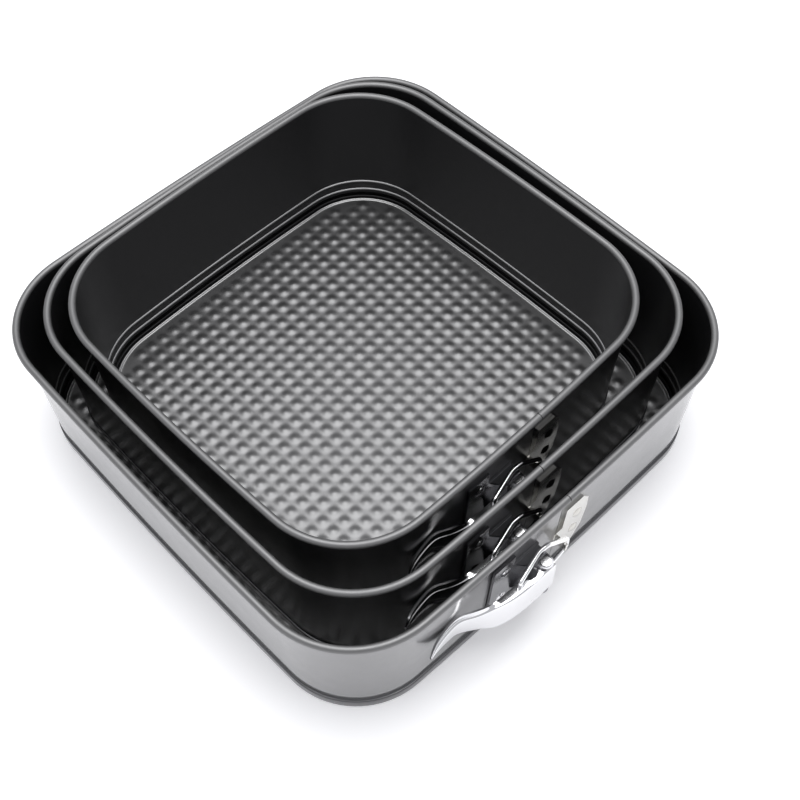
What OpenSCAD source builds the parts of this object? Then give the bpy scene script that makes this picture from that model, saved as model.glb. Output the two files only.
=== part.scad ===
// Nested set of three square springform pans. Each pan is a sprung steel band
// with a rolled rim and a bottom channel, a loose waffle base held in that
// channel, and an over-centre latch: bracket, pin, lever, wire bail and catch.

/* [Pans] */
// Half width of the large pan, measured to the centre of its rolled rim
large_half = 120; // [110:1:130]
// Half width of the medium pan
medium_half = 110; // [108:0.5:110.5]
// Half width of the small pan
small_half = 99.5; // [97:0.5:100]
// Height of the rolled rim's centre above the pan's own underside
rim_z = 68; // [64:1:74]
// Corner radius at the rolled rim's centre
corner_r = 45; // [40:0.5:48]

/* [Band] */
// Sheet thickness of the band
band_t = 0.6; // [0.4:0.1:0.8]
// Radius of the rolled rim
bead_r = 1.65; // [1.4:0.05:1.8]
// Height of the bottom channel that holds the base
channel_h = 6.6; // [5:0.2:8]
// Width of the slit where the band's two ends meet
slit_w = 0.5; // [0.3:0.1:1]
// Length of the inner tongue that covers the slit from inside
tongue_l = 14; // [8:1:18]

/* [Base] */
// Width of the gutter between the base's edge and its raised panel
gutter_w = 5; // [4:0.5:7]
// Height of the raised panel's top above the pan's own underside
panel_top = 2.95; // [2.5:0.05:2.95]
// Height of the base's turned-up edge
edge_top = 3.6; // [3.2:0.1:4.2]

/* [Nesting] */
// Shift of the medium pan from the large pan, to clear the latch
medium_shift = [-5.7, 4.3];
// Shift of the small pan from the large pan
small_shift = [-11, 4.2];
// Turn of the medium pan
medium_turn = 0.6; // [0:0.1:0.7]
// Turn of the small pan
small_turn = 1.4; // [0.6:0.1:1.5]
// Height step from one pan to the next
nest_step = 3; // [3:0.1:4]

/* [Latch] */
// Place of the medium pan's latch along its side, from the large pan's
medium_latch_y = -5; // [-6:0.5:2]
// Place of the small pan's latch along its side, from the large pan's
small_latch_y = 10; // [-2:0.5:12]
// Height of the latch's middle line above the pan's own underside
latch_z = 35; // [33:0.5:37]
// How far the lever's face stands out from the rim's centre line
latch_reach = 10.5; // [10:0.1:10.8]
// Height of the lever's body
lever_h = 20; // [18:0.5:22]
// Height of the lever's finger tab where it leaves the body
tab_h = 16.6; // [14:0.2:19]
// Sheet thickness of the lever and bracket
plate_t = 1.2; // [1:0.1:1.5]
// Radius of the lever's pivot pin
pin_r = 1.3; // [1:0.1:1.5]
// Radius of the bail's wire
wire_r = 1.1; // [0.9:0.05:1.2]
// Radius of the rivets' shanks
rivet_r = 1.6; // [1.4:0.1:2]

/* [Hidden] */
$fn = 96;

halves = [large_half, medium_half, small_half];
shifts = [[0, 0], medium_shift, small_shift];
turns = [0, medium_turn, small_turn];
latch_ys = [0, medium_latch_y, small_latch_y];

// The origin is under the middle of the whole set's box, latch included
origin_x = (latch_reach - bead_r) / 2;

// Wall profile: u is measured outwards from the rim's centre line
lip_u = -3;                        // channel's outer face
foot_u = lip_u - band_t;           // wall's outer face above the channel
flange_u = -7.4;                   // inner edge of the flange under the base
wall_top_u = -bead_r + band_t;     // wall's outer face at the rim
wall_rise = rim_z - channel_h;
lean = (wall_top_u - foot_u) / wall_rise;
lean_deg = atan(lean);

// Base profile
base_bottom = band_t + 0.05;       // rests on the flange
base_u = foot_u - 1.3;             // edge of the base, clear of the neck and tongue
base_t = 0.6;                      // sheet of the base
panel_t = 1.2;                     // panel with its waffle relief
gutter_u = base_u - base_t - gutter_w + 1.3;

// Latch, in the pan's own frame; x is measured from the rim's centre line
pivot = [6.9, -18.6];       // pin's axis
lever_end = -15.6;          // end of the lever beyond its pivot
lever_tip = -77.3;          // end of its finger tab
hitch = [6.6, -33.5];              // bail's axis on the lever
hook = [3.4, -0.7];                // bail's end at the catch
kink = [2.6, -18.5];                     // bend of the bail behind the pin
neck = [2.8, -13.6];                     // where its legs start to close in
ear_r = 3.2;
ear_z = lever_h / 2 + 0.3 + plate_t;     // outer face of each bracket ear
bail_z = ear_z + 2.1;                    // bail's legs beside the pin's heads
hook_z = 5.3;                            // bail's legs at the hook
tongue_w = 5;                            // hook's width inside the bail
bracket_y = -34;
catch_y = 9.5;
rivet_z = 12;
catch_rivet_z = 7;
head_r = 2.8;
head_t = 1;
running = 0.05;                          // radial clearance of a turning fit
seam_y = -1.2;

// Bezier curve through its end points
function bezier(a, b, c, d, n) = [for (i = [0:n]) let (s = i / n)
    a * pow(1 - s, 3) + b * 3 * s * pow(1 - s, 2) + c * 3 * s * s * (1 - s) + d * pow(s, 3)];
function reversed(p) = [for (i = [len(p) - 1:-1:0]) p[i]];
// Outer face of the latch side's wall, from the pan's centre
function wall_x(h, z) = h + foot_u + lean * (z - channel_h);

// Draws a profile of (u, z) along a pan's four sides and four corners
module around(h) {
    c = h - corner_r;
    for (k = [0:3]) rotate([0, 0, 90 * k]) {
        translate([h, c, 0]) rotate([90, 0, 0]) linear_extrude(2 * c) children();
        translate([c, c, 0]) rotate_extrude(angle = 90) translate([corner_r, 0]) children();
    }
}

// Solid plate whose edge lies at u, between two heights
module plate(h, u, z0, z1) {
    c = h - corner_r;
    e = h + u;
    translate([-e, -c, z0]) cube([2 * e, 2 * c, z1 - z0]);
    translate([-c, -e, z0]) cube([2 * c, 2 * e, z1 - z0]);
    for (x = [-c, c], y = [-c, c]) translate([x, y, z0]) cylinder(r = corner_r + u, h = z1 - z0);
}

module wall_profile() {
    polygon([
        [flange_u, 0], [lip_u - 0.8, 0], [lip_u, 0.8], [lip_u, channel_h - 1.2],
        [foot_u, channel_h], [wall_top_u, rim_z], [wall_top_u - band_t + 0.2, rim_z],
        [foot_u - band_t, channel_h + 0.2], [lip_u - band_t, channel_h - 1],
        [lip_u - band_t, band_t], [flange_u, band_t]
    ]);
}

// Places the latch side's local frame on the leaning wall: +X points outwards
module on_wall(h, y, z) {
    translate([wall_x(h, z) + 0.01, y, z]) rotate([0, lean_deg, 0]) children();
}

module rivet_places(dz) {
    for (s = [-1, 1]) translate([0, 0, s * dz]) rotate([0, 90, 0]) children();
}

module band(h, latch_y) {
    difference() {
        union() {
            around(h) wall_profile();
            around(h) translate([0, rim_z]) circle(r = bead_r);
        }
        translate([h - 12, latch_y + seam_y, -1]) cube([24, slit_w, rim_z + 12]);
        for (y = [bracket_y, catch_y])
            on_wall(h, latch_y + y, latch_z) rivet_places(y == catch_y ? catch_rivet_z : rivet_z)
                cylinder(r = rivet_r, h = 8, center = true);
    }
    // Tongue behind the slit: joined to the +Y end of the band
    tongue_h = rim_z - channel_h - 8;
    on_wall(h, latch_y + seam_y, channel_h + 4 + tongue_h / 2) {
        translate([-2 * band_t - 0.05, -tongue_l, -tongue_h / 2]) cube([band_t, tongue_l + 6, tongue_h]);
        translate([-2 * band_t - 0.05, slit_w + 1, -tongue_h / 2]) cube([band_t + 0.3, 4, tongue_h]);
    }
}

module base(h) {
    difference() {
        union() {
            plate(h, base_u, base_bottom, base_bottom + base_t);
            plate(h, gutter_u, base_bottom, panel_top);
            around(h) translate([base_u - base_t, base_bottom]) square([base_t, edge_top - base_bottom]);
        }
        plate(h, gutter_u - base_t, base_bottom - 1, panel_top - panel_t);
    }
}

module bracket(h) {
    difference() {
        union() {
            // Foot on the wall, narrow between the ears
            on_wall(h, bracket_y, latch_z) {
                translate([0, -7, -20]) cube([plate_t, 12, 40]);
                translate([0, 4, -ear_z - 0.4]) cube([plate_t, 15.6, 2 * ear_z + 0.8]);
            }
            for (s = [-1, 1]) translate([0, 0, latch_z + s * (ear_z - plate_t / 2)]) {
                linear_extrude(plate_t, center = true) polygon([
                    [wall_x(h, latch_z) + 0.6, -29], [h + pivot[0], pivot[1] - ear_r],
                    [h + pivot[0], pivot[1] + ear_r], [wall_x(h, latch_z) + 0.6, pivot[1] + ear_r + 0.4]
                ]);
                translate([h + pivot[0], pivot[1], 0]) cylinder(r = ear_r, h = plate_t, center = true);
            }
        }
        translate([h + pivot[0], pivot[1], latch_z]) cylinder(r = pin_r + 0.02, h = 60, center = true);
        on_wall(h, bracket_y, latch_z) rivet_places(rivet_z)
            cylinder(r = rivet_r, h = 8, center = true);
    }
}

// Shank with a domed head outside and a flat one inside the wall
module rivet(grip) {
    cylinder(r = rivet_r - 0.02, h = 2 * (grip + 0.2), center = true);
    translate([0, 0, grip + 0.02]) intersection() {
        translate([0, 0, head_t - 4.4]) sphere(r = 4.4);
        cylinder(r = head_r, h = head_t);
    }
    translate([0, 0, -band_t - 0.05 - 0.6]) cylinder(r = head_r, h = 0.6);
}

module bracket_rivets(h) {
    on_wall(h, bracket_y, latch_z) rivet_places(rivet_z) rivet(plate_t);
}

module catch_rivets(h) {
    on_wall(h, catch_y, latch_z) rivet_places(catch_rivet_z) rivet(plate_t);
}

// Shield-shaped plate with an upright tongue that the bail's end sits behind
module catch_plate(h) {
    difference() {
        on_wall(h, 0, latch_z) rotate([90, 0, 90]) linear_extrude(plate_t) polygon([
            [1, 19.5], [11, 19.5], [15, 14], [16, 4], [15, -10], [11, -19.5], [6, -19.5], [3, -12],
            [1, -tongue_w / 2 - 1], [-3.8, -tongue_w / 2 - 1], [-3.8, tongue_w / 2 + 1], [1, tongue_w / 2 + 1]
        ]);
        on_wall(h, catch_y, latch_z) rivet_places(catch_rivet_z)
            cylinder(r = rivet_r, h = 8, center = true);
    }
    foot_x = wall_x(h, latch_z) + 0.3;
    tip_x = h + hook[0] + 1.8;
    translate([foot_x, hook[1] - wire_r - 0.4 - plate_t, latch_z - tongue_w / 2])
        cube([tip_x - foot_x, plate_t, tongue_w]);
}

// Lever's plan: the face's curve, and the free edge on the wall's side
function face_curve(h) = concat(
    [[h + latch_reach, lever_end], [h + latch_reach, -27]],
    bezier([h + latch_reach, -27], [h + latch_reach, -53], [h - 0.6, -53], [h - 0.4, -63], 20),
    bezier([h - 0.4, -63], [h - 0.3, -69], [h + 0.5, -73], [h + 1.6, lever_tip], 8));
function edge_curve(h) = concat(
    [[h + 0.4, lever_tip]], bezier([h - 0.8, -73], [h - 1.7, -69], [h - 1.9, -62], [h - 1.4, -57], 8),
    bezier([h - 1.4, -57], [h - 0.4, -52], [h + 4.2, -53], [h + 4.6, -44], 10),
    [[h + 5, -36.5], [h + 4.9, -32], [h + 6.4, -30], [h + 8, -28], [h + 8.4, -25.5], [h + 7.2, -23],
     [h + 4.3, -21.6], [h + 3.6, -20], [h + 3.6, lever_end]]);
function inset_face(h, d) = [for (p = face_curve(h)) [p[0] - d, p[1]]];
// Lever's outline seen from outside, above its middle line
function lever_top(h2, t2) = concat([[lever_end, h2], [-46, h2]],
    bezier([-46, h2], [-52, h2], [-52, t2 + 0.3], [-58, t2], 8),
    bezier([-58, t2], [-65, t2 - 0.8], [-74.5, t2 * 0.4], [lever_tip, 0], 12));

module lever_side(h2, t2) {
    top = lever_top(h2, t2);
    rotate([90, 0, 90]) linear_extrude(400, center = true)
        polygon(concat(top, reversed([for (p = top) [p[0], -p[1]]])));
}

module lever(h) {
    translate([0, 0, latch_z]) difference() {
        intersection() {
            linear_extrude(60, center = true) polygon(concat(face_curve(h), edge_curve(h)));
            lever_side(lever_h / 2, tab_h / 2);
        }
        // Hollow of the channel, which ends where the tab begins
        translate([0, 0, plate_t - lever_h / 2]) linear_extrude(lever_h - 2 * plate_t) polygon(concat(
            [for (p = inset_face(h, plate_t)) if (p[1] > -55) p],
            [[h - 4, -55.5], [h - 4, -10], [h + latch_reach - plate_t, -10]]));
        translate([h + pivot[0], pivot[1], 0]) cylinder(r = pin_r + running, h = 60, center = true);
        translate([h + hitch[0], hitch[1], 0]) cylinder(r = wire_r + running, h = 60, center = true);
    }
}

module lever_pin(h) {
    reach = ear_z + 0.1;
    translate([h + pivot[0], pivot[1], latch_z]) {
        cylinder(r = pin_r, h = 2 * reach, center = true);
        for (s = [0, 180]) rotate([s, 0, 0]) translate([0, 0, reach]) cylinder(r = 2.2, h = 0.45);
    }
}

// Straight length of wire that ends in a joint ball
module rod(a, b) {
    d = b - a;
    translate(a) rotate([0, acos(d[2] / norm(d)), atan2(d[1], d[0])]) cylinder(r = wire_r, h = norm(d));
    translate(b) sphere(r = wire_r + 0.12);
}

module bail(h) {
    in_z = lever_h / 2 - plate_t - 0.1;
    translate([h, 0, latch_z]) {
        for (s = [-1, 1]) {
            translate([hitch[0], hitch[1], s > 0 ? in_z : -bail_z]) cylinder(r = wire_r, h = bail_z - in_z);
            rod([kink[0], kink[1], s * bail_z], [hitch[0], hitch[1], s * bail_z]);
            rod([neck[0], neck[1], s * bail_z], [kink[0], kink[1], s * bail_z]);
            rod([hook[0], hook[1] - 2.5, s * hook_z], [neck[0], neck[1], s * bail_z]);
            rod([hook[0], hook[1], s * (hook_z - 2)], [hook[0], hook[1] - 2.5, s * hook_z]);
        }
        translate([hook[0], hook[1], 2 - hook_z]) cylinder(r = wire_r, h = 2 * hook_z - 4);
    }
}

// Puts pan number i in its nested place
module nested(i) {
    translate([shifts[i][0] - origin_x, shifts[i][1], i * nest_step]) rotate([0, 0, turns[i]])
        children();
}

module at_latch(i) {
    nested(i) translate([0, latch_ys[i], 0]) children();
}

module large_band() color("#b4b4b8") nested(0) band(halves[0], latch_ys[0]);
module large_base() color("#77777c") nested(0) base(halves[0]);
module large_bracket() color("#d8d8dc") at_latch(0) bracket(halves[0]);
module large_bracket_rivets() color("#c8c8cc") at_latch(0) bracket_rivets(halves[0]);
module large_catch() color("#e6e4dc") at_latch(0) catch_plate(halves[0]);
module large_catch_rivets() color("#c8c8cc") at_latch(0) catch_rivets(halves[0]);
module large_lever() color("#ececf0") at_latch(0) lever(halves[0]);
module large_lever_pin() color("#c8c8cc") at_latch(0) lever_pin(halves[0]);
module large_bail() color("#dcdce0") at_latch(0) bail(halves[0]);

module medium_band() color("#a8a8ac") nested(1) band(halves[1], latch_ys[1]);
module medium_base() color("#77777c") nested(1) base(halves[1]);
module medium_bracket() color("#d8d8dc") at_latch(1) bracket(halves[1]);
module medium_bracket_rivets() color("#c8c8cc") at_latch(1) bracket_rivets(halves[1]);
module medium_catch() color("#e6e4dc") at_latch(1) catch_plate(halves[1]);
module medium_catch_rivets() color("#c8c8cc") at_latch(1) catch_rivets(halves[1]);
module medium_lever() color("#ececf0") at_latch(1) lever(halves[1]);
module medium_lever_pin() color("#c8c8cc") at_latch(1) lever_pin(halves[1]);
module medium_bail() color("#dcdce0") at_latch(1) bail(halves[1]);

module small_band() color("#9c9ca0") nested(2) band(halves[2], latch_ys[2]);
module small_base() color("#77777c") nested(2) base(halves[2]);
module small_bracket() color("#d8d8dc") at_latch(2) bracket(halves[2]);
module small_bracket_rivets() color("#c8c8cc") at_latch(2) bracket_rivets(halves[2]);
module small_catch() color("#e6e4dc") at_latch(2) catch_plate(halves[2]);
module small_catch_rivets() color("#c8c8cc") at_latch(2) catch_rivets(halves[2]);
module small_lever() color("#ececf0") at_latch(2) lever(halves[2]);
module small_lever_pin() color("#c8c8cc") at_latch(2) lever_pin(halves[2]);
module small_bail() color("#dcdce0") at_latch(2) bail(halves[2]);

large_band();
large_base();
large_bracket();
large_bracket_rivets();
large_catch();
large_catch_rivets();
large_lever();
large_lever_pin();
large_bail();
medium_band();
medium_base();
medium_bracket();
medium_bracket_rivets();
medium_catch();
medium_catch_rivets();
medium_lever();
medium_lever_pin();
medium_bail();
small_band();
small_base();
small_bracket();
small_bracket_rivets();
small_catch();
small_catch_rivets();
small_lever();
small_lever_pin();
small_bail();
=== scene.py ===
"""Nested set of three square springform pans: the visual model around the CAD frame."""
import math

import bmesh
import bpy
from mathutils import Matrix, Vector


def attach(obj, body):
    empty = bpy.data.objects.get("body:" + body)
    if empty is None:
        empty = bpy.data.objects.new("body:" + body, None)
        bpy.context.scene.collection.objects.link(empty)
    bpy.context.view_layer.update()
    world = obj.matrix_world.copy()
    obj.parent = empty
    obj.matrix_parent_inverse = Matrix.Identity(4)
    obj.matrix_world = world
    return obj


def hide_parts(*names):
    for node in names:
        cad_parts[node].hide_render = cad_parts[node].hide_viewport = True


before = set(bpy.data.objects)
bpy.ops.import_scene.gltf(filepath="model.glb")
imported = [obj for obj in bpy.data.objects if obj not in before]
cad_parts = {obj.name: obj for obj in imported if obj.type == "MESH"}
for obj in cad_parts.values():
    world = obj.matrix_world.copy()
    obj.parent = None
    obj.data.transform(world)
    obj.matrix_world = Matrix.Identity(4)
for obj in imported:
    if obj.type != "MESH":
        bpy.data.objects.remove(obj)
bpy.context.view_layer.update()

MM = 0.001                # one millimetre in Blender's metres

# ---------------------------------------------------------------- the set's sizes, in mm
# In a pan, u is measured outwards from the centre line of its rolled rim and z up from its underside.
# The latch is on the +X side.
ORIGIN_X = 4.425          # the frame's origin from the large pan's centre
CORNER_R = 41.5           # corner radius at the rolled rim's centre line
SIDE_BOW = 1.05           # how far a side bows out between its corners
SHEET = 0.6               # thickness of the bands and bases

RIM_Z = 68.0              # height of the rolled rim's centre line
BEAD_R = 1.65             # outer radius of the rolled rim
CHANNEL_H = 6.6           # height of the channel that holds the base
LIP_U = -3.0              # outside of the channel
FOOT_U = -3.6             # outside of the wall, just above the channel
FLANGE_U = -7.4           # inner edge of the flange under the base
WALL_TOP_U = -1.05        # outside of the wall at the rim's height
LEAN = (WALL_TOP_U - FOOT_U) / (RIM_Z - CHANNEL_H)
GROOVE = 0.7              # depth of the groove pressed in above the channel
WALL_RIDGES = (12.9, 7.4)  # heights of the fine ridges round the inside of the wall

SEAM_Y = -1.2             # where the band's two ends meet
SLIT = 0.3                # between the two ends
TONGUE = 14.0             # how far the strip behind the slit reaches past it
TONGUE_LAP = 6.0          # how far the strip overlaps its own end of the band

PITCH = 6.8               # between bumps of the waffle relief
BUMP_H = 0.58             # their height
FLAT_Z = 2.2              # top of the base's panel between bumps
GUTTER_U = -6.1           # where the panel drops into the gutter
PANEL_U = GUTTER_U - 1.9  # where the panel's flat top ends
BUMP_U = GUTTER_U - 4.6   # outermost place of a bump's centre

# half: half of the rim's width; shift, turn and step: where a pan lies in the large one, in mm and
# degrees; bumps: along a side of the base; latch: place of the latch along its side
PANS = {
    "large": dict(half=120.0, shift=(0.0, 0.0), turn=0.0, step=0.0, bumps=32, latch=0.0),
    "medium": dict(half=110.0, shift=(-5.7, 4.3), turn=0.6, step=3.0, bumps=29, latch=-5.0),
    "small": dict(half=99.5, shift=(-11.0, 4.2), turn=1.4, step=6.0, bumps=26, latch=10.0),
}


# ---------------------------------------------------------------- camera
AZIMUTH, ELEVATION, ROLL = 46.878, 56.476, -0.483     # degrees
TARGET = (7.510, 13.776, 0.0)                         # from the large pan's centre, mm
DISTANCE = 600.955                                    # mm
SENSOR, LENS = 36.0, 56.307375                        # mm


def aim_camera():
    az, el, roll = (math.radians(a) for a in (AZIMUTH, ELEVATION, ROLL))
    back = Vector((math.sin(az) * math.cos(el), -math.cos(az) * math.cos(el), math.sin(el)))
    target = Vector((TARGET[0] - ORIGIN_X, TARGET[1], TARGET[2])) * MM
    right = (-back).cross(Vector((0, 0, 1))).normalized()
    up = right.cross(-back)
    r = math.cos(roll) * right + math.sin(roll) * up
    u = -math.sin(roll) * right + math.cos(roll) * up
    cam = bpy.data.objects.new("camera", bpy.data.cameras.new("camera"))
    cam.data.sensor_width = SENSOR
    cam.data.lens = LENS
    cam.data.clip_start = 0.01
    m = Matrix((r, u, back)).transposed().to_4x4()
    m.translation = target + back * DISTANCE * MM
    cam.matrix_world = m
    bpy.context.scene.collection.objects.link(cam)
    bpy.context.scene.camera = cam


aim_camera()


# ---------------------------------------------------------------- outline of a pan
class Outline:
    """Bowed square with round corners, along the centre line of a pan's rim."""

    def __init__(self, half):
        self.h = half
        self.r = (half - CORNER_R) ** 2 / (2 * SIDE_BOW)
        k = (self.r - half) / (math.sqrt(2) * (self.r - CORNER_R))
        self.a = math.acos(k) - math.pi / 4
        self.c = (self.r - CORNER_R) * math.sin(self.a)

    def arcs(self):
        """Centre, radius, first and last angle of each side and corner, and the quarter turn it is seen in."""
        for k in range(4):
            q = k * math.pi / 2
            yield (self.h - self.r, 0.0), self.r, -self.a, self.a, q
            yield (self.c, self.c), CORNER_R, self.a, math.pi / 2 - self.a, q

    def stations(self, seam, side_n=24, corner_n=20):
        """(centre, radius, direction) from seam[0] all the way round to seam[1], both ys on the +X side."""
        out = []
        for i, ((cx, cy), r, a0, a1, q) in enumerate(self.arcs()):
            n = corner_n if i % 2 else side_n
            if i == 0:
                a0 = math.asin(seam[0] / r)
            out += [self.station(cx, cy, r, a0 + (a1 - a0) * j / n, q) for j in range(n)]
        a0, a1 = -self.a, math.asin(seam[1] / self.r)
        out += [self.station(self.h - self.r, 0.0, self.r, a0 + (a1 - a0) * j / side_n, 0.0)
                for j in range(side_n + 1)]
        return out

    @staticmethod
    def station(cx, cy, r, a, q):
        cq, sq = math.cos(q), math.sin(q)
        return ((cx * cq - cy * sq, cx * sq + cy * cq), r, (math.cos(a + q), math.sin(a + q)))

    def foot(self, x, y):
        """Outward normal (nx, ny) at a point of the plan, and the point's u."""
        q = 0
        while not (x >= 0 and abs(y) <= x):
            x, y = y, -x
            q += 1
            if q > 3:
                break
        px, py = x - (self.h - self.r), y
        if abs(math.atan2(py, px)) <= self.a:
            d, r = math.hypot(px, py), self.r
        else:
            px, py = x - self.c, y - math.copysign(self.c, y)
            d, r = math.hypot(px, py), CORNER_R
        nx, ny = (px / d, py / d) if d > 1e-9 else (1.0, 0.0)
        for _ in range(q):
            nx, ny = -ny, nx
        return nx, ny, d - r


def at(station, u, z):
    """Point of a pan at a station's u and z."""
    (cx, cy), r, (dx, dy) = station
    return (cx + (r + u) * dx, cy + (r + u) * dy, z)


def place(pan):
    """From a pan's own millimetres to its place in the set."""
    p = PANS[pan]
    return (Matrix.Translation(((p["shift"][0] - ORIGIN_X) * MM, p["shift"][1] * MM, p["step"] * MM))
            @ Matrix.Rotation(math.radians(p["turn"]), 4, "Z") @ Matrix.Scale(MM, 4))


def build(name, pan, verts, faces, mats, face_mats, body, node, sharp):
    """Makes a piece from points in a pan's own millimetres; edges above sharp degrees aren't smoothed."""
    me = bpy.data.meshes.new(name)
    me.from_pydata([place(pan) @ Vector(v) for v in verts], [], faces)
    for m in mats:
        me.materials.append(m)
    if face_mats:
        me.polygons.foreach_set("material_index", face_mats)
    bm = bmesh.new()
    bm.from_mesh(me)
    bmesh.ops.remove_doubles(bm, verts=bm.verts, dist=1e-6)
    bmesh.ops.recalc_face_normals(bm, faces=bm.faces)
    for f in bm.faces:
        f.smooth = True
    for e in bm.edges:
        if len(e.link_faces) == 2 and e.calc_face_angle(0) > math.radians(sharp):
            e.smooth = False
    bm.to_mesh(me)
    bm.free()
    ob = bpy.data.objects.new(name, me)
    bpy.context.scene.collection.objects.link(ob)
    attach(ob, body)
    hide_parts(node)


# ---------------------------------------------------------------- materials
def material(name, color, metallic, rough, noise_scale, color_var, rough_var=0.0, bump=0.0,
             bump_scale=2000, coat=0.0, specular=0.5):
    """Coated or bare sheet metal: colour and roughness wander a little, and a fine bump breaks the gloss."""
    m = bpy.data.materials.new(name)
    m.use_nodes = True
    nt = m.node_tree
    b = nt.nodes["Principled BSDF"]
    b.inputs["Metallic"].default_value = metallic
    b.inputs["Roughness"].default_value = rough
    b.inputs["Base Color"].default_value = (*color, 1)
    b.inputs["Coat Weight"].default_value = coat
    b.inputs["Coat Roughness"].default_value = 0.12
    b.inputs["Specular IOR Level"].default_value = specular
    co = nt.nodes.new("ShaderNodeTexCoord")
    n = nt.nodes.new("ShaderNodeTexNoise")
    n.inputs["Scale"].default_value = noise_scale
    n.inputs["Detail"].default_value = 6
    n.inputs["Roughness"].default_value = 0.6
    nt.links.new(co.outputs["Object"], n.inputs["Vector"])
    mix = nt.nodes.new("ShaderNodeMix")
    mix.data_type = "RGBA"
    mix.inputs[6].default_value = (*(max(0, c * (1 - color_var)) for c in color), 1)
    mix.inputs[7].default_value = (*(min(1, c * (1 + color_var)) for c in color), 1)
    nt.links.new(n.outputs["Fac"], mix.inputs[0])
    nt.links.new(mix.outputs[2], b.inputs["Base Color"])
    if rough_var:
        mr = nt.nodes.new("ShaderNodeMapRange")
        mr.inputs["From Min"].default_value = 0.3
        mr.inputs["From Max"].default_value = 0.7
        mr.inputs["To Min"].default_value = max(0.02, rough - rough_var)
        mr.inputs["To Max"].default_value = min(1, rough + rough_var)
        nt.links.new(n.outputs["Fac"], mr.inputs["Value"])
        nt.links.new(mr.outputs["Result"], b.inputs["Roughness"])
    if bump:
        n2 = nt.nodes.new("ShaderNodeTexNoise")
        n2.inputs["Scale"].default_value = bump_scale
        n2.inputs["Detail"].default_value = 3
        nt.links.new(co.outputs["Object"], n2.inputs["Vector"])
        bp = nt.nodes.new("ShaderNodeBump")
        bp.inputs["Strength"].default_value = bump
        bp.inputs["Distance"].default_value = 0.0001
        nt.links.new(n2.outputs["Fac"], bp.inputs["Height"])
        nt.links.new(bp.outputs["Normal"], b.inputs["Normal"])
    return m


WALL_OUT = material("wall_outside", (0.135, 0.135, 0.138), 1.0, 0.36, 60, 0.06, 0.04, 0.25, 3500, coat=0.9)
# Near-black copy of the outside finish for the nested pans: painted shade for the narrow gaps between the pans.
WALL_OUT_PAINTED_SHADE = material("wall_outside_painted_shade", (0.014, 0.014, 0.015), 0.0, 0.32, 60, 0.1, 0.04, 0.25, 3500,
                       specular=0.4)
# Darker copy of the outside finish on the channel at the bottom: painted contact shade from the floor.
LIP_PAINTED_SHADE = material("bottom_lip_painted_shade", (0.085, 0.085, 0.09), 1.0, 0.34, 60, 0.06, 0.04, 0.25, 3500, coat=0.6)
WALL_IN = material("wall_inside", (0.010, 0.010, 0.011), 0.0, 0.33, 60, 0.1, 0.04, 0.2, 3500, specular=0.75)
BEAD = material("rolled_rim", (0.20, 0.20, 0.202), 0.85, 0.50, 90, 0.08, 0.05, 0.2, 3000)
# Lighter copy of the waffle base's metal on the ridge round its panel: a painted highlight.
EDGE_PAINTED_HIGHLIGHT = material("base_edge_painted_highlight", (0.26, 0.26, 0.262), 0.9, 0.34, 90, 0.08, 0.05, 0.2, 3000)
# Light metal on the upper faces of the fine ridges inside the black-coated wall: a painted highlight line.
RIDGE_PAINTED_HIGHLIGHT = material("wall_ridge_painted_highlight", (0.56, 0.56, 0.565), 0.9, 0.36, 90, 0.08, 0.05, 0.2, 3000)
WAFFLE = material("waffle_base", (0.15, 0.15, 0.152), 0.9, 0.36, 80, 0.08, 0.04, 0.2, 3500)
CHROME = material("bright_plate", (0.74, 0.74, 0.755), 1.0, 0.10, 120, 0.02, 0.04, 0.05, 2500)
WIRE = material("bright_wire", (0.84, 0.84, 0.85), 1.0, 0.08, 120, 0.02, 0.03, 0.05, 2500)
PLATE = material("catch_plate", (0.80, 0.79, 0.75), 1.0, 0.09, 120, 0.03, 0.05, 0.1, 2500)
# Chrome darkened for the bracket that sits between the lever and the wall: painted shade.
BRACKET_PAINTED_SHADE = material("bracket_plate_painted_shade", (0.20, 0.20, 0.21), 1.0, 0.13, 120, 0.10, 0.05, 0.1, 2500)
# Plate-like metal, a little darker, for the catch's rivets: painted shade.
CATCH_RIVET_PAINTED_SHADE = material("catch_rivet", (0.55, 0.54, 0.51), 1.0, 0.12, 150, 0.05, 0.05, 0.1, 2500)
RIVET = material("rivet", (0.66, 0.66, 0.67), 1.0, 0.12, 150, 0.03, 0.05, 0.1, 2500)


# ---------------------------------------------------------------- bands
def arc(cx, cz, r, a0, a1, n):
    """Points of an arc between two angles in degrees."""
    return [(cx + r * math.cos(math.radians(a0 + (a1 - a0) * i / n)),
             cz + r * math.sin(math.radians(a0 + (a1 - a0) * i / n))) for i in range(n + 1)]


def wall_out_u(z):
    return FOOT_U + LEAN * (z - CHANNEL_H)


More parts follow.
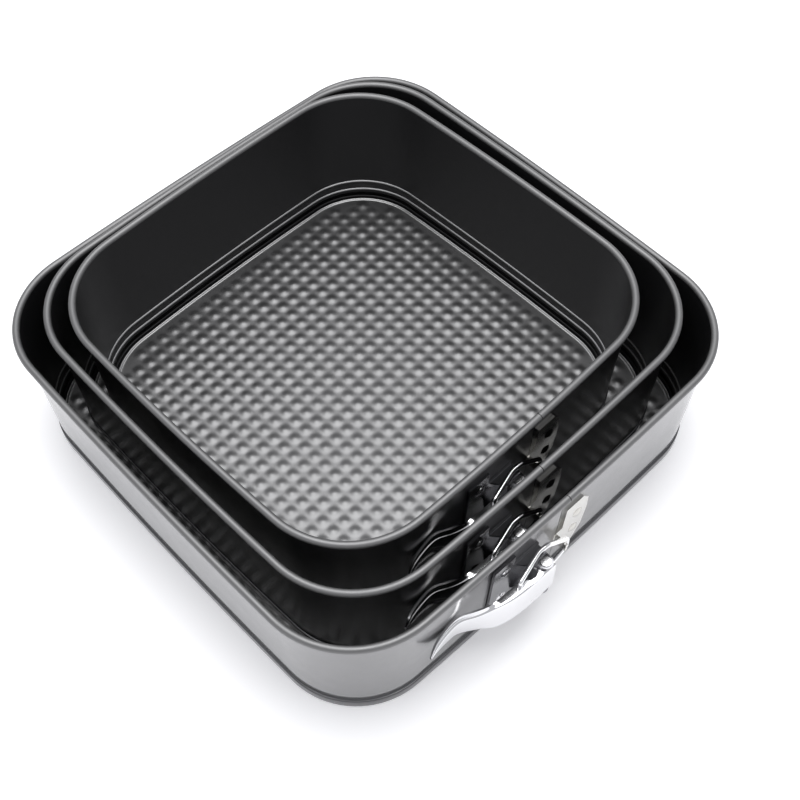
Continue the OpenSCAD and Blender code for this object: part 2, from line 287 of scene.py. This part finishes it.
def band_profile():
    """Closed section of (u, z, look); the face that starts at a point has its look.

    Looks: 0 outside, 1 rolled rim, 2 inside, 3 channel, darker as painted contact shade, 4 ridge, lighter as a
    painted highlight."""
    n = CHANNEL_H
    inner_foot = FOOT_U - SHEET
    # flange and channel from below, then the groove above it
    pts = [(u, z, 3) for u, z in [(FLANGE_U, 0.0), (LIP_U - 0.8, 0.0)] + arc(LIP_U - 0.8, 0.8, 0.8, -72, -18, 3)
           + [(LIP_U, 0.8), (LIP_U, n - 1.9)] + arc(LIP_U - 0.5, n - 1.9, 0.5, 18, 90, 4)]
    pts += [(FOOT_U - 0.3, n - 1.25, 3), (FOOT_U - 0.85 * GROOVE, n - 0.95, 3), (FOOT_U - GROOVE, n - 0.6, 3),
            (FOOT_U - 0.85 * GROOVE, n - 0.2, 3), (FOOT_U - 0.3 * GROOVE, n + 0.3, 0), (FOOT_U + 0.03, n + 0.8, 0)]
    # up the outside, round the rim and down the inside
    pts += [(wall_out_u(z), z, 0) for z in (12, 20, 30, 40, 50, 58, 63, 65.6)]
    pts.append((-1.24, 66.55, 0))
    pts += [(u, z, 1) for u, z in arc(0, RIM_Z, BEAD_R, 227, 540, 30)[:-1]]
    pts.append((-BEAD_R, RIM_Z, 2))
    pts += [(wall_out_u(z) - SHEET, z, 2) for z in (66, 63, 58, 50, 40, 30, 20)]
    # each ridge's upper faces take look 4, the painted highlight
    for z in WALL_RIDGES:
        pts += [(wall_out_u(z + dz) - SHEET - du, z + dz, look) for du, dz, look in
                ((0.0, 0.6, 4), (0.2, 0.45, 4), (0.38, 0.22, 4), (0.47, -0.05, 2), (0.42, -0.3, 2))]
        if z > n + 2:     # the lower ridge runs into the groove instead
            pts.append((wall_out_u(z - 0.8) - SHEET, z - 0.8, 2))
    # inside of the groove, of the channel and of the flange
    pts += [(inner_foot - 0.85 * GROOVE, n, 2), (inner_foot - 0.95 * GROOVE, n - 0.5, 2),
            (inner_foot - 0.6 * GROOVE, n - 1.1, 2), (LIP_U - SHEET, n - 1.7, 2),
            (LIP_U - SHEET, SHEET, 2), (FLANGE_U, SHEET, 2)]
    return pts


def sweep(stations, profile):
    """Carries a closed section of (u, z, look) along the stations and caps both ends."""
    n, last = len(profile), len(stations) - 1
    verts = [at(s, u, z) for s in stations for u, z, _ in profile]
    faces, looks = [], []
    for i in range(last):
        for k in range(n):
            l = (k + 1) % n
            faces.append((i * n + k, (i + 1) * n + k, (i + 1) * n + l, i * n + l))
            looks.append(profile[k][2])
    faces.append(tuple(range(n)))
    faces.append(tuple(last * n + k for k in range(n - 1, -1, -1)))
    return verts, faces, looks + [0, 0]


def band(pan):
    """A pan's wall, and the strip inside it that covers the slit."""
    o = Outline(PANS[pan]["half"])
    seam = SEAM_Y + PANS[pan]["latch"]
    verts, faces, looks = sweep(o.stations((seam + SLIT, seam)), band_profile())
    # The nested pans' outsides take the near-black copy, painted shade; only the large pan shows the outside's own
    # finish.
    outside = WALL_OUT if pan == "large" else WALL_OUT_PAINTED_SHADE
    build(pan + "_band_shell", pan, verts, faces, [outside, BEAD, WALL_IN, LIP_PAINTED_SHADE, RIDGE_PAINTED_HIGHLIGHT], looks, pan + "_pan",
          pan + "_band", 50)
    low, high = CHANNEL_H + 4, RIM_Z - 4
    clear = 0.05          # between the strip and the wall
    strip = [(wall_out_u(z) - SHEET * k - clear, z, 0) for k, z in
             ((1, low), (1, (low + high) / 2), (1, high), (2, high), (2, (low + high) / 2), (2, low))]
    ys = [seam - TONGUE + (TONGUE + TONGUE_LAP) * i / 10 for i in range(11)]
    along = [o.station(o.h - o.r, 0.0, o.r, math.asin(y / o.r), 0.0) for y in ys]
    verts, faces, looks = sweep(along, strip)
    build(pan + "_band_tongue", pan, verts, faces, [WALL_IN], looks, pan + "_pan", pan + "_band", 50)


# ---------------------------------------------------------------- bases
def nearest_bump(x, y, n):
    """Centre of the bump nearest to a point, on a base with n x n bumps."""
    off = 0.0 if n % 2 else PITCH / 2
    return tuple(round((c + off) / PITCH) * PITCH - off for c in (x, y))


def relief(o, x, y, n):
    """Height of the waffle relief at a point of the panel."""
    reach = n / 2 * PITCH
    bx, by = nearest_bump(x, y, n)
    if abs(x) > reach or abs(y) > reach or o.foot(bx, by)[2] > BUMP_U:
        return 0.0
    k = 2 * math.pi / PITCH
    return BUMP_H * (0.5 + 0.5 * math.cos(k * (x - bx))) * (0.5 + 0.5 * math.cos(k * (y - by)))


# Section of the base outside its panel, as (u, z, look): ridge, gutter, turned-up edge and the way back
# underneath. Looks: 0 panel, 1 dark coating, 2 ridge, lighter than the panel as a painted highlight.
BASE_EDGE = [(-7.6, 2.24, 0), (-7.3, 2.4, 2), (-7.05, 2.64, 2), (-6.8, 2.8, 2), (-6.5, 2.84, 2), (-6.28, 2.68, 2)]
BASE_EDGE += [(u, z, 1) for u, z in (
    (-6.16, 2.3), (-6.12, 1.8), (-6.05, 1.45), (-5.93, 1.3), (-5.82, 1.25), (-5.7, 1.3), (-5.58, 1.5), (-5.52, 1.8),
    (-5.5, 2.2), (-5.5, 3.0), (-5.42, 3.4), (-5.2, 3.58), (-5.0, 3.45), (-4.92, 3.15),
    (-4.9, 2.2), (-4.9, 1.3), (-4.98, 0.95), (-5.2, 0.72), (-5.6, 0.65),
    (-6.2, 0.7), (-6.5, 0.95), (-6.75, 1.3), (-7.0, 1.55), (-7.3, 1.6))]


def base(pan):
    """A pan's loose base: a grid of points for the panel, and its edge swept round the grid's outline."""
    o, n = Outline(PANS[pan]["half"]), PANS[pan]["bumps"]
    cell = PITCH / 8      # eight points to a bump
    reach = int((o.h + PANEL_U) / cell) + 2
    cells = [(i, j) for i in range(-reach, reach) for j in range(-reach, reach)
             if o.foot((i + 0.5) * cell, (j + 0.5) * cell)[2] <= PANEL_U]
    keep = set(cells)
    verts, index, faces = [], {}, []
    for i, j in cells:
        quad = []
        for a, b in ((i, j), (i + 1, j), (i + 1, j + 1), (i, j + 1)):
            if (a, b) not in index:
                x, y = a * cell, b * cell
                around = [(a - 1, b - 1), (a, b - 1), (a - 1, b), (a, b)]
                if all(c in keep for c in around):
                    z = FLAT_Z + relief(o, x, y, n)
                else:     # a point of the grid's outline moves onto the panel's edge
                    nx, ny, u = o.foot(x, y)
                    x, y, z = x + nx * (PANEL_U - u), y + ny * (PANEL_U - u), FLAT_Z
                index[(a, b)] = len(verts)
                verts.append((x, y, z))
            quad.append(index[(a, b)])
        faces.append(tuple(quad))
    # the grid's outline, in order: the edges that only one face has
    edges = {(f[k], f[(k + 1) % 4]) for f in faces for k in range(4)}
    nxt = {a: b for f in faces for a, b in ((f[k], f[(k + 1) % 4]) for k in range(4)) if (b, a) not in edges}
    loop = [next(iter(nxt))]
    while nxt[loop[-1]] != loop[0]:
        loop.append(nxt[loop[-1]])
    # underside of the panel
    top = len(verts)
    verts += [(x, y, z - SHEET) for x, y, z in verts]
    faces += [tuple(k + top for k in reversed(f)) for f in faces]
    looks = [0] * len(faces)

    def join(row, next_row, look):
        faces.extend((row[i - 1], row[i], next_row[i], next_row[i - 1]) for i in range(len(row)))
        looks.extend([look] * len(row))

    edge = [(verts[k][0], verts[k][1], *o.foot(verts[k][0], verts[k][1])[:2]) for k in loop]
    row = loop
    for u, z, look in BASE_EDGE:
        first = len(verts)
        verts += [(x + nx * (u - PANEL_U), y + ny * (u - PANEL_U), z) for x, y, nx, ny in edge]
        next_row = list(range(first, len(verts)))
        join(row, next_row, look)
        row = next_row
    join(row, [k + top for k in loop], 0)
    build(pan + "_waffle_base", pan, verts, faces, [WAFFLE, WALL_IN, EDGE_PAINTED_HIGHLIGHT], looks, pan + "_base", pan + "_base",
          60)


for pan in PANS:
    band(pan)
    base(pan)


# ---------------------------------------------------------------- latches
# A latch is measured in u, in y along its side before the pan's latch place is added, and in z from LATCH_Z.
LATCH_Z = 35.0            # height of the latch's middle
REACH = 10.2              # u of the lever's flat face
LEVER_END = -15.6         # y of the lever's end at its pin
LEVER_TIP = -77.3         # y of the tip of its finger tab
TAB_Y, TAB_RUN = -44, 12  # where the section starts to turn from a channel into the tab, and over what length
LEVER_H2, TAB_H2 = 10.0, 8.3      # half heights of the channel and of the tab
LEVER_T = 0.95            # thickness of its sheet
DIMPLES = ((-24.3, -8.0), (-27.8, -6.4))          # (y, z) on the lever's face
DIMPLE_R, DIMPLE_H = 1.0, 0.3
WIRE_R = 1.1              # of the bail
WIRE_BEND = 1.3           # how much of a straight stretch each bend of the wire takes up
BAIL_Z = 13.6             # half width of the bail where it hangs in the lever


def bezier(a, b, c, d, n):
    """n + 1 points of a cubic curve."""
    out = []
    for i in range(n + 1):
        t = i / n
        w = ((1 - t) ** 3, 3 * t * (1 - t) ** 2, 3 * t * t * (1 - t), t ** 3)
        out.append(tuple(sum(k * q[j] for k, q in zip(w, (a, b, c, d))) for j in range(len(a))))
    return out


def read_curve(curve, y):
    """x of a curve of (x, y) whose y falls from point to point."""
    if y >= curve[0][1]:
        return curve[0][0]
    for (x0, y0), (x1, y1) in zip(curve, curve[1:]):
        if y1 <= y <= y0:
            return x0 + (x1 - x0) * (y0 - y) / max(y0 - y1, 1e-9)
    return curve[-1][0]


# The lever's outline as curves of (u or half height, y): its face, the free edge of its two flanges and
# its half height.
FACE = ([(REACH, LEVER_END)] + bezier((REACH, -27), (REACH, -53), (-0.6, -53), (-0.4, -63), 24)
        + bezier((-0.4, -63), (-0.3, -69), (0.5, -73), (1.6, LEVER_TIP), 10)[1:])
FREE_EDGE = ([(3.6, LEVER_END), (3.6, -20), (4.3, -21.6), (7.2, -23), (8.4, -25.5), (8.0, -28), (6.4, -30),
              (4.9, -32), (5.0, -36.5)] + bezier((4.6, -44), (4.2, -53), (-0.4, -52), (-1.4, -57), 12)
             + bezier((-1.4, -57), (-1.9, -62), (-1.7, -69), (-0.8, -73), 8)[1:] + [(0.8, LEVER_TIP)])
HALF_H = ([(LEVER_H2, LEVER_END)] + bezier((LEVER_H2, -46), (LEVER_H2, -52), (TAB_H2 + 0.3, -52), (TAB_H2, -58), 10)
          + bezier((TAB_H2, -58), (TAB_H2 - 0.8, -65), (TAB_H2 * 0.4, -74.5), (0.0, LEVER_TIP), 16)[1:])


def smooth(t):
    t = min(1.0, max(0.0, t))
    return t * t * (3 - 2 * t)


def lever_section(y):
    """Half of the outer surface at y, from the middle line to the free edge, as (u, z)."""
    f, e, h = read_curve(FACE, y), read_curve(FREE_EDGE, y), max(0.5, read_curve(HALF_H, y))
    tab = smooth((TAB_Y - y) / TAB_RUN)      # 0 in the channel, 1 in the tab
    k = h * (1 - 0.40 * tab)
    step = min(0.9, 0.25 * h)
    corner = (f, k)
    bend = ((f + e) / 2 * (1 - tab) + (f - step) * tab, k + 0.35 * step * tab)
    end = (e * (1 - tab) + (f - step - 0.15) * tab, h)

    def to(p, q, r):
        """Point r on the way from p to q, or half way if that is nearer."""
        d = math.hypot(q[0] - p[0], q[1] - p[1])
        r = min(r, 0.5 * d)
        return p[0] + (q[0] - p[0]) * r / d, p[1] + (q[1] - p[1]) * r / d

    def curve(a, b, c, n):
        """Corner b rounded from a to c."""
        ts = [i / n for i in range(n + 1)]
        return [tuple((1 - t) ** 2 * p + 2 * t * (1 - t) * q + t * t * w for p, q, w in zip(a, b, c)) for t in ts]

    r = 1.9 * (1 - tab) + 0.45 * tab
    a = (f, max(0.55 * k, k - r))
    pts = [(f + 0.15 * (1 - (z / 8) ** 2) * tab, a[1] * z / 8) for z in range(8)]
    pts += curve(a, corner, to(corner, bend, r), 7)
    pts += curve(to(bend, corner, 0.4), bend, to(bend, end, 0.4), 4)
    pts += [tuple(p + (q - p) * i / 3 for p, q in zip(pts[-1], end)) for i in range(1, 4)]
    return pts


def lever(pan, body):
    """Sections of the lever along y, with an inner surface one sheet inside the outer one."""
    h, shift = PANS[pan]["half"], PANS[pan]["latch"]
    # close together along the bumps of the free edge, then 44 even steps to the tip
    ys = [LEVER_END, -17, -18.5, -20, -21, -22, -23, -24, -25.5, -27, -28, -29, -30, -31, -32, -34, -36.5]
    ys += [-36.5 + (LEVER_TIP + 36.5) * i / 44 for i in range(1, 45)]
    rings = []
    for y in ys:
        half = lever_section(y)
        outer = [(x, -z) for x, z in reversed(half[1:])] + half
        inner = []
        for i, (x, z) in enumerate(outer):
            (x0, z0), (x1, z1) = outer[max(0, i - 1)], outer[min(len(outer) - 1, i + 1)]
            d = math.hypot(x1 - x0, z1 - z0)
            inner.append((x - LEVER_T * (z1 - z0) / d, z + LEVER_T * (x1 - x0) / d))
        rings.append([(h + x, y + shift, LATCH_Z + z) for x, z in outer + inner[::-1]])
    n = len(rings[0])
    verts = [v for r in rings for v in r]
    faces = [(i * n + k, i * n + (k + 1) % n, (i + 1) * n + (k + 1) % n, (i + 1) * n + k)
             for i in range(len(rings) - 1) for k in range(n)]
    for i in (0, len(rings) - 1):
        faces += [(i * n + k, i * n + k + 1, i * n + n - 2 - k, i * n + n - 1 - k) for k in range(n // 2 - 1)]
    build(pan + "_latch_lever", pan, verts, faces, [CHROME], None, body, pan + "_lever", 48)


def dimples(pan, body):
    """Two small domes pressed out of the lever's face."""
    h, shift = PANS[pan]["half"], PANS[pan]["latch"]
    rings, sides = 5, 20
    verts, faces = [], []
    for y, z in DIMPLES:
        first = len(verts)
        verts.append((h + REACH + DIMPLE_H, y + shift, LATCH_Z + z))
        for ring in range(1, rings + 1):
            t = ring / rings
            x = REACH + DIMPLE_H * (1 - t * t) - 0.02 * t
            verts += [(h + x, y + shift + DIMPLE_R * t * math.cos(a), LATCH_Z + z + DIMPLE_R * t * math.sin(a))
                      for a in (2 * math.pi * k / sides for k in range(sides))]
        faces += [(first, first + 1 + k, first + 1 + (k + 1) % sides) for k in range(sides)]
        for p in (first + 1 + sides * ring for ring in range(rings - 1)):
            q = p + sides
            faces += [(p + k, q + k, q + (k + 1) % sides, p + (k + 1) % sides) for k in range(sides)]
        faces.append(tuple(first + 1 + sides * (rings - 1) + k for k in range(sides)))
    build(pan + "_lever_dimples", pan, verts, faces, [RIVET], None, body, pan + "_lever", 70)


def rounded(points, cut, n=6):
    """Polyline whose inner corners are rounded."""
    pts = [Vector(p) for p in points]
    out = [pts[0]]
    for a, b, c in zip(pts, pts[1:], pts[2:]):
        d1, d2 = min(cut, 0.48 * (b - a).length), min(cut, 0.48 * (c - b).length)
        p, q = b + (a - b).normalized() * d1, b + (c - b).normalized() * d2
        out += [(1 - t) ** 2 * p + 2 * t * (1 - t) * b + t * t * q for t in (i / n for i in range(n + 1))]
    return out + [pts[-1]]


def tube(path, r, sides=16):
    """Round wire along a path, with flat ends."""
    verts, faces = [], []
    side = None
    for i, p in enumerate(path):
        t = (path[min(i + 1, len(path) - 1)] - path[max(i - 1, 0)]).normalized()
        side = t.orthogonal() if side is None else side - t * side.dot(t)
        side.normalize()
        up = t.cross(side)
        verts += [p + r * (math.cos(a) * side + math.sin(a) * up)
                  for a in (2 * math.pi * k / sides for k in range(sides))]
    for i in range(len(path) - 1):
        for k in range(sides):
            l = (k + 1) % sides
            faces.append((i * sides + k, i * sides + l, (i + 1) * sides + l, (i + 1) * sides + k))
    faces.append(tuple(range(sides - 1, -1, -1)))
    faces.append(tuple((len(path) - 1) * sides + k for k in range(sides)))
    return verts, faces


def bail(pan, body):
    """Wire loop from the lever's upper flange round the catch's tongue to its lower flange."""
    h, shift = PANS[pan]["half"], PANS[pan]["latch"]
    # (u, y, z) of its upper half: through the flange, along the latch, and in towards the catch's middle
    leg = [(6.6, -33.5, 8.7), (6.6, -33.5, BAIL_Z), (2.6, -18.5, BAIL_Z), (2.8, -13.6, BAIL_Z), (3.4, -3.2, 5.3),
           (3.4, -0.7, 3.3)]
    loop = leg + [(x, y, -z) for x, y, z in reversed(leg)]
    path = rounded([(h + x, y + shift, LATCH_Z + z) for x, y, z in loop], WIRE_BEND)
    verts, faces = tube(path, WIRE_R)
    build(pan + "_latch_bail", pan, verts, faces, [WIRE], None, body, pan + "_bail", 60)


# only the large pan's latch has room to open, so only its lever and bail are bodies of their own
for pan in PANS:
    lever(pan, "large_lever" if pan == "large" else pan + "_pan")
    dimples(pan, "large_lever" if pan == "large" else pan + "_pan")
    bail(pan, "large_bail" if pan == "large" else pan + "_pan")

# the CAD's own shapes are shown for the rest of each latch
# The bracket gets the darkened chrome and the catch's rivets the darkened plate metal, both painted shade.
LOOKS = {"bracket": BRACKET_PAINTED_SHADE, "bracket_rivets": RIVET, "catch": PLATE, "catch_rivets": CATCH_RIVET_PAINTED_SHADE, "lever_pin": RIVET}
for pan in PANS:
    for part, look in LOOKS.items():
        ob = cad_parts[f"{pan}_{part}"]
        ob.data.materials.clear()
        ob.data.materials.append(look)


# ---------------------------------------------------------------- studio
WORLD_STRENGTH = 0.62
FLOOR_HALF, FLOOR_Z = 3.0, -0.0002        # metres
FLOOR_GLOW = 0.22                         # keeps the pale floor white in the soft light
KEY_AT, KEY_SIZE, KEY_POWER = (-0.08, 0.08, 1.2), 1.0, 14


def studio():
    """Pale world, white floor and one large soft lamp overhead."""
    world = bpy.data.worlds.new("studio")
    bpy.context.scene.world = world
    world.use_nodes = True
    bg = world.node_tree.nodes["Background"]
    bg.inputs["Color"].default_value = (0.97, 0.975, 1.0, 1)
    bg.inputs["Strength"].default_value = WORLD_STRENGTH

    me = bpy.data.meshes.new("floor")
    s = FLOOR_HALF
    me.from_pydata([(x, y, FLOOR_Z) for x, y in ((-s, -s), (s, -s), (s, s), (-s, s))], [], [(0, 1, 2, 3)])
    floor = bpy.data.objects.new("floor", me)
    bpy.context.scene.collection.objects.link(floor)
    white = material("floor_white", (0.93, 0.93, 0.94), 0.0, 0.6, 3, 0.004)
    shader = white.node_tree.nodes["Principled BSDF"]
    shader.inputs["Emission Color"].default_value = (0.96, 0.96, 1.0, 1)
    shader.inputs["Emission Strength"].default_value = FLOOR_GLOW
    me.materials.append(white)

    lamp = bpy.data.lights.new("key_top", "AREA")
    lamp.energy = KEY_POWER
    lamp.shape = "RECTANGLE"
    lamp.size = lamp.size_y = KEY_SIZE
    key = bpy.data.objects.new("key_top", lamp)
    key.location = KEY_AT
    key.rotation_euler = (-Vector(KEY_AT)).to_track_quat("-Z", "Y").to_euler()
    bpy.context.scene.collection.objects.link(key)


studio()
bpy.context.scene.view_settings.view_transform = "Standard"
